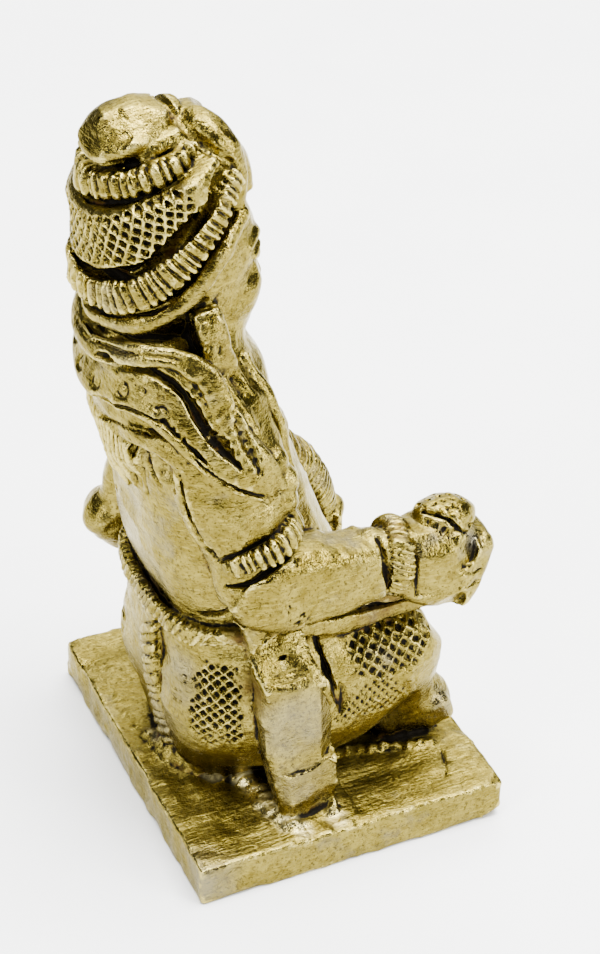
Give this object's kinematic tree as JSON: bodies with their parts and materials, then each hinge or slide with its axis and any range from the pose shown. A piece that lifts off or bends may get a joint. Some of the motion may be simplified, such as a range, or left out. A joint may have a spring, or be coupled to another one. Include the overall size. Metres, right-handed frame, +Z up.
{
  "type": "statue",
  "caption": "Small cast brass statue of a seated pot-bellied figure in a wound turban and shawl, on a square plate, for a shelf or a home shrine.",
  "frame": {"origin": "middle of the plate's underside", "axes": "+Z up; the figure faces -Y and its right side is -X"},
  "size_m": [0.03, 0.0285, 0.0602],
  "materials": {
    "worn_brass": "hand-filed and worn, dark patina in the recesses"
  },
  "bodies": {
    "root": {"kubera_statue": "worn_brass"}
  },
  "joints": []
}
